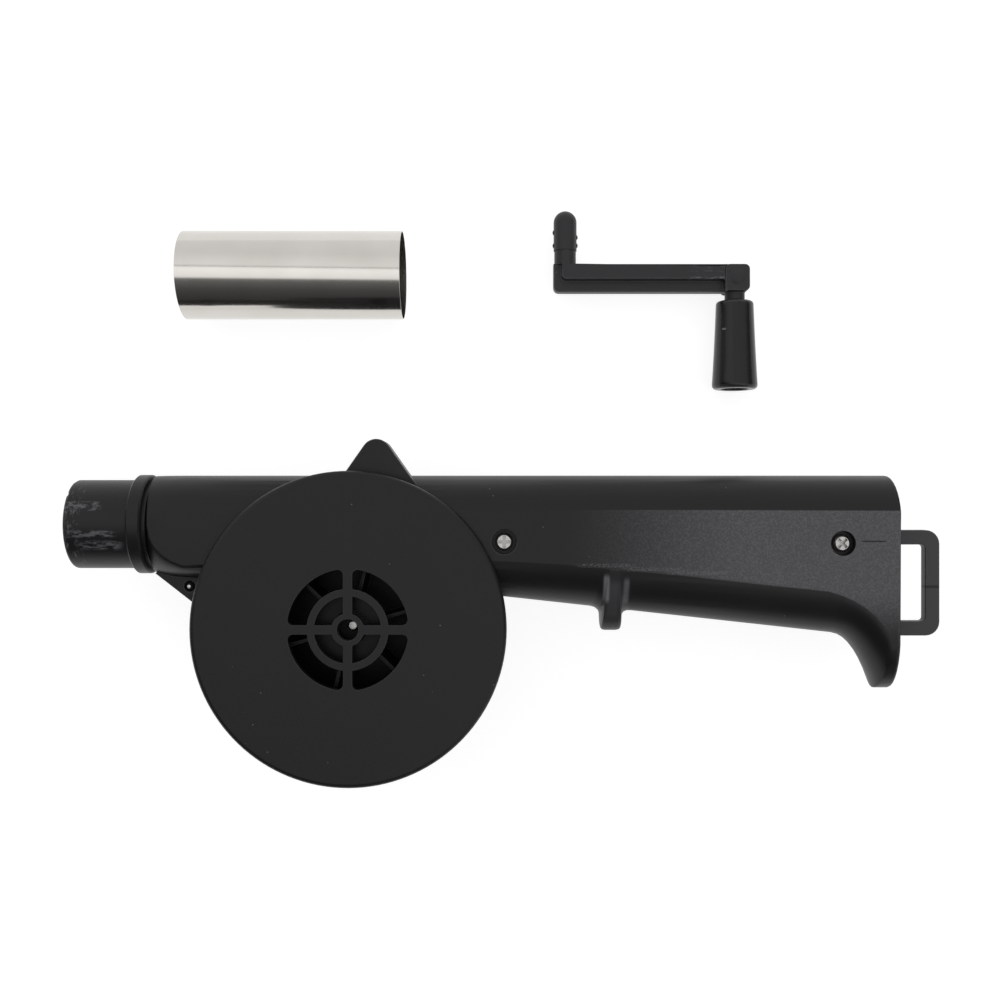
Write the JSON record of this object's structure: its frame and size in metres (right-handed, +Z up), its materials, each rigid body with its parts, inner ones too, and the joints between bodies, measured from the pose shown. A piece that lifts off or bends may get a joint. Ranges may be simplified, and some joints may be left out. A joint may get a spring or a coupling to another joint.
{
  "type": "hand crank blower",
  "caption": "Hand cranked air blower with a round fan drum, outlet spigot and pistol-like handle, laid flat beside its removable crank and steel blow tube.",
  "frame": {"origin": "fan axis on the drum's back face, which lies on the table", "axes": "+X along the handle to its tail, +Y across towards the crank and the tube, +Z up through the drum"},
  "size_m": [0.236, 0.1601, 0.0402],
  "materials": {
    "black_plastic": "satin moulded",
    "gloss_black": "glossy",
    "gear_plastic": "moulded",
    "plated_steel": "zinc plated",
    "bronze": "sintered",
    "stainless": "polished"
  },
  "bodies": {
    "housing": {"front_shell": "black_plastic", "back_shell": "black_plastic", "inlet_cover": "black_plastic", "outlet_nozzle": "black_plastic", "hanging_loop": "black_plastic", "handle_screws": "plated_steel", "case_screws": "plated_steel", "gear_plate": "black_plastic", "plate_screws": "plated_steel", "idler_axle": "plated_steel", "fan_bush": "bronze"},
    "drive": {"drive_gear": "gear_plastic"},
    "idler": {"idler_gear": "gear_plastic"},
    "fan": {"fan_shaft": "plated_steel", "fan_pinion": "gear_plastic", "fan_impeller": "black_plastic"},
    "crank": {"crank_arm": "black_plastic", "grip_screw": "plated_steel"},
    "grip": {"crank_grip": "gloss_black"},
    "tube": {"steel_tube": "stainless"}
  },
  "joints": [
    {"name": "drive_spin", "type": "hinge", "parent": "housing", "child": "drive", "pos_m": [0, 0.017, 0], "axis": [0, 0, 1], "continuous": true},
    {"name": "idler_spin", "type": "hinge", "parent": "housing", "child": "idler", "pos_m": [0.01877, 0.00405, 0], "axis": [0, 0, 1], "continuous": true},
    {"name": "fan_spin", "type": "hinge", "parent": "housing", "child": "fan", "pos_m": [0, 0, 0], "axis": [0, 0, 1], "continuous": true},
    {"name": "crank_lift", "type": "slide", "parent": "housing", "child": "crank", "axis": [0, 0, 1], "range_m": [0, 0.06]},
    {"name": "grip_spin", "type": "hinge", "parent": "crank", "child": "grip", "pos_m": [0.1085, 0.08, 0.00655], "axis": [0, 1, 0], "continuous": true},
    {"name": "tube_lift", "type": "slide", "parent": "housing", "child": "tube", "axis": [0, 0, 1], "range_m": [0, 0.06]}
  ],
  "couplings": [
    {"joint": "idler_spin", "follows": "fan_spin", "ratio": -0.33333},
    {"joint": "drive_spin", "follows": "fan_spin", "ratio": 0.088889}
  ]
}
